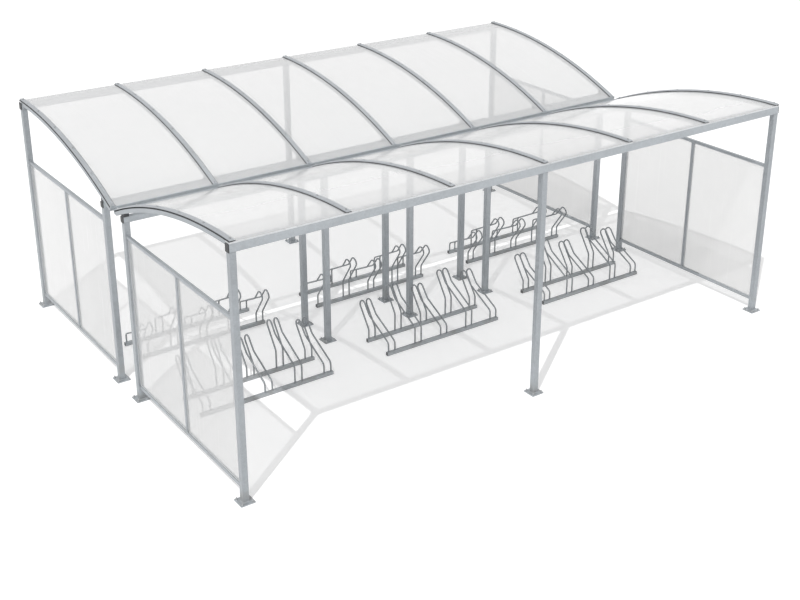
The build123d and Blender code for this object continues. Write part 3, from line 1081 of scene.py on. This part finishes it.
@dataclass
class EndScreens:
    """Framed panes at the ends, with a sealing bead round each pane and welds at the joints."""

    bead: float = 0.0042
    tube: float = 0.030
    weld: float = 0.0030
    corner: float = 0.002
    sides: tuple[int, int] = (8, 6)  # of the seals' and of the welds' section
    paces: tuple[float, float] = (0.03, 0.003)  # along a seal, and along a weld

    def seal(self, low: Vector, high: Vector, x: float) -> Surface:
        """A quarter-round bead just inside a pane's outline, on the face at x."""
        y, z = (low.y + high.y) / 2, (low.z + high.z) / 2
        outline = even(box_outline(high.y - low.y, high.z - low.z, self.corner), self.paces[0])
        path = np.stack([np.full(len(outline), x), y + outline[:, 0], z + outline[:, 1]], axis=-1)
        return swept(circle(self.bead, self.sides[0]), path, (1, 0, 0), True)

    def build(self) -> None:
        """Dresses the CAD tubes and panes and adds the beads."""
        coat("screen_mullions", STEEL_UP_SHADED)
        for half in Half:
            seals, joints = [], []
            for end in End:
                coat(half.node(end.node("screen_rails")), STEEL_ACROSS)
                node = half.node(end.node("screen_panes"))
                coat(node, PANE)
                low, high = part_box(node)
                middle = (low.y + high.y) / 2
                for a, b in ((low.y, middle - self.tube / 2), (middle + self.tube / 2, high.y)):
                    corners = Vector((low.x, a, low.z)), Vector((high.x, b, high.z))
                    seals += [self.seal(*corners, low.x), self.seal(*corners, high.x)]
                x = (low.x + high.x) / 2
                for y, out in ((low.y, 1.0), (high.y, -1.0)):
                    for z in (low.z - self.tube / 2, high.z + self.tube / 2):
                        joints.append(((x, y, z), (0, out, 0)))
                joints += [((x, middle, low.z), (0, 0, 1)), ((x, middle, high.z), (0, 0, -1))]
            place(half.node("pane_seals"), Surface.joined(seals), SEALANT)
            outline = even(box_outline(self.tube, self.tube, self.corner, 5), self.paces[1])
            ring = swept(circle(self.weld, self.sides[1]), np.pad(outline, ((0, 0), (0, 1))),
                         (0, 0, 1), True)
            spots, ups = (np.array(v, float) for v in zip(*joints))
            place(half.node("screen_welds"), ring.repeated(frames_at(spots, ups)), WELD)


# --- Racks ---


@dataclass
class Racks:
    """Six floor racks: two rails and five pairs of hoops each, alternately low and high."""

    places: int = 5
    gauge: float = 0.075
    rod: float = 0.008
    rail: float = 0.035
    rail_gauge: float = 0.346
    low: Pairs = (
        (0, 0.138), (-0.166, 0.368), (-0.093, 0.431), (0.015, 0.295), (0.346, 0.129))
    high: Pairs = (
        (0, 0.221), (-0.168, 0.465), (-0.084, 0.514), (0, 0.394), (0.346, 0.209))
    bends: tuple[float, ...] = (0.060, 0.042, 0.042, 0.070, 0.045)
    collar: float = 0.0028
    collar_gap: float = 0.0008
    rod_sides: int = 14
    collar_sides: int = 6
    arc_steps: int = 9
    rail_overhang: float = 0.010  # of the rails past the hoops
    levels: tuple[tuple[bool, float, float], ...] = (  # plug: inside the tube, scale, height
        (True, 1.0, -0.012), (True, 1.0, 0.0), (False, 1.0, 0.0), (False, 1.0, 0.0018),
        (False, 0.90, 0.0030), (False, 0.55, 0.0038), (False, 0.0, 0.0041))

    def line(self, half: Half, x: float, foot_y: float, corners: Sequence[tuple[float, float]]
             ) -> np.ndarray:
        """Centreline of one hoop: straight runs joined by tangent arcs.

        Args:
            half: Which half.
            x: Place along the shelter.
            foot_y: Distance of the inner rail from the middle plane.
            corners: Corners as distance from the inner rail and height.

        Returns:
            Points of shape (n, 3).
        """
        at = np.array([(0, self.rail), *corners, (self.rail_gauge, self.rail)], float)
        before, after = at[:-2] - at[1:-1], at[2:] - at[1:-1]
        arcs = corner_arcs(at[1:-1], before, after, np.array(self.bends), self.arc_steps)
        flat = np.concatenate([at[:1], arcs, at[-1:]])
        return np.stack([np.full(len(flat), x), half.value * (foot_y + flat[:, 0]), flat[:, 1]], -1)

    def build(self) -> None:
        """Builds the hoops, their weld collars and the rails' end plugs."""
        collar_path = np.pad(circle(self.rod + self.collar_gap, self.rod_sides), ((0, 0), (0, 1)))
        collar = swept(circle(self.collar, self.collar_sides), collar_path, (0, 0, 1), True)
        for half in Half:
            rails = half.node("rack_rails")
            coat(rails, RAIL_STEEL)
            low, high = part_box(rails)
            inner_y = min(abs(low.y), abs(high.y)) + self.rail / 2
            feet, ends = [], []
            for name in ("left", "middle", "right"):
                node = half.node(f"{name}_rack_hoops")
                a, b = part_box(node)
                first, last = a.x + self.rod + self.gauge / 2, b.x - self.rod - self.gauge / 2
                rods = []
                for place_number, x in enumerate(np.linspace(first, last, self.places)):
                    corners = self.high if place_number % 2 else self.low
                    for side in (-self.gauge / 2, self.gauge / 2):
                        path = self.line(half, x + side, inner_y, corners)
                        rods.append(swept(circle(self.rod, self.rod_sides), path, (1, 0, 0)))
                        feet += [path[0], path[-1]]
                place(half.node(f"{name}_bent_hoops"), Surface.joined(rods), RACK_STEEL_SHADED,
                      [node], crease=50.0)
                for y in (inner_y, inner_y + self.rail_gauge):
                    over = a.x - self.rail_overhang, b.x + self.rail_overhang
                    ends += [((over[0], half.value * y, self.rail / 2), (-1, 0, 0)),
                             ((over[1], half.value * y, self.rail / 2), (1, 0, 0))]
            place(half.node("hoop_welds"), collar.repeated(frames_at(np.array(feet))), WELD)
            spots, ups = (np.array(v, float) for v in zip(*ends))
            frames = frames_at(spots, ups, (0, 1, 0))
            place(half.node("rail_plugs"), self.plug().repeated(frames), PLUG)

    def plug(self) -> Surface:
        """A domed square plug: the outline shrinks towards the middle as the height rises."""
        outline = box_outline(self.rail - 0.0012, self.rail - 0.0012, 0.003)
        inner = box_outline(self.rail - 0.0045, self.rail - 0.0045, 0.001)
        points = [np.pad((inner if inside else outline) * scale, ((0, 0), (0, 1)),
                         constant_values=z) for inside, scale, z in self.levels]
        return grid(np.stack(points))


# --- Studio ---


@dataclass(frozen=True)
class Studio:
    """Pale floor, soft light and the camera."""

    camera_at: tuple[float, float, float] = (-6.749, -9.684, 5.711)
    yaw: float = 35.24
    pitch: float = 21.75
    roll: float = 0.07
    lens: float = 55.82
    shift: tuple[float, float] = (-0.0060, -0.1014)
    sun_way: tuple[float, float, float] = (1156.0, 834.0, -2185.0)
    sun_strength: float = 1.9
    sun_angle: float = 0.7
    sky: float = 0.62
    floor_tone: float = 0.80
    floor_glow: float = 0.29
    reach: float = 90.0
    floor_drop: float = 0.0005
    sensor: float = 36.0
    sight: float = 300.0

    def build(self) -> None:
        """Sets up camera, lights, world and floor."""
        scene = bpy.context.scene
        scene.view_settings.view_transform = "Standard"
        self.camera(scene)
        self.sun(scene)
        self.world(scene)
        self.floor(scene)

    def camera(self, scene: bpy.types.Scene) -> None:
        """Puts the camera where it sees the shelter from its front left."""
        eye = bpy.data.cameras.new("eye")
        eye.lens, eye.sensor_width = self.lens, self.sensor
        eye.shift_x, eye.shift_y = self.shift
        eye.clip_end = self.sight
        holder = bpy.data.objects.new("eye", eye)
        holder.matrix_world = (
            Matrix.Translation(self.camera_at)
            @ Matrix.Rotation(math.radians(-self.yaw), 4, "Z")
            @ Matrix.Rotation(math.radians(90 - self.pitch), 4, "X")
            @ Matrix.Rotation(math.radians(self.roll), 4, "Z")
        )
        scene.collection.objects.link(holder)
        scene.camera = holder

    def sun(self, scene: bpy.types.Scene) -> None:
        """One weak sun from the front left."""
        lamp = bpy.data.lights.new("sun", "SUN")
        lamp.energy, lamp.angle = self.sun_strength, math.radians(self.sun_angle)
        holder = bpy.data.objects.new("sun", lamp)
        holder.rotation_euler = Vector(self.sun_way).to_track_quat("-Z", "Y").to_euler()
        scene.collection.objects.link(holder)

    @staticmethod
    def looked_at(graph: Graph) -> Wire:
        """1 for rays from the eye, from a glossy surface or through glass, and 0 for the rest."""
        rays = graph.add("ShaderNodeLightPath", {}, {}).outputs
        seen = Wire(graph, rays["Is Camera Ray"])
        for name in ("Is Glossy Ray", "Is Transmission Ray"):
            seen = seen.most(Wire(graph, rays[name]))
        return seen

    def world(self, scene: bpy.types.Scene) -> None:
        """An even sky that shows as white to the eye and in reflections."""
        world = bpy.data.worlds.new("sky")
        world.use_nodes = True
        graph = Graph(world.node_tree)
        strength = graph.add("ShaderNodeMix", {}, {0: self.looked_at(graph), 2: self.sky, 3: 1.0})
        glow = graph.add("ShaderNodeBackground", {}, {"Color": (1, 1, 1, 1),
                                                      "Strength": strength.outputs[0]})
        graph.add("ShaderNodeOutputWorld", {}, {"Surface": glow.outputs[0]})
        scene.world = world

    def floor(self, scene: bpy.types.Scene) -> None:
        """A pale floor that takes the shelter's shadow and shows white where it is lit."""
        r, z = self.reach, -self.floor_drop
        mesh = bpy.data.meshes.new("floor")
        mesh.from_pydata([(-r, -r, z), (r, -r, z), (r, r, z), (-r, r, z)], [], [(0, 1, 2, 3)])
        material = bpy.data.materials.new("pale_floor")
        material.use_nodes = True
        graph = Graph(material.node_tree)
        matt = graph.add("ShaderNodeBsdfDiffuse", {}, {"Color": (*(self.floor_tone,) * 3, 1)})
        glow = graph.add("ShaderNodeEmission", {},
                         {"Strength": self.looked_at(graph) * self.floor_glow})
        both = graph.add("ShaderNodeAddShader", {}, {0: matt.outputs[0], 1: glow.outputs[0]})
        graph.add("ShaderNodeOutputMaterial", {}, {"Surface": both.outputs[0]})
        mesh.materials.append(material)
        floor = bpy.data.objects.new("floor", mesh)
        scene.collection.objects.link(floor)


def main() -> None:
    """Builds the shelter's looks and the studio."""
    logging.basicConfig(level=logging.INFO, format="%(name)s %(message)s")
    layout = Layout.read()
    SteelFrame(layout).build()
    Roof(layout).build()
    EndScreens().build()
    Racks().build()
    Studio().build()


if __name__ == "__main__":
    main()
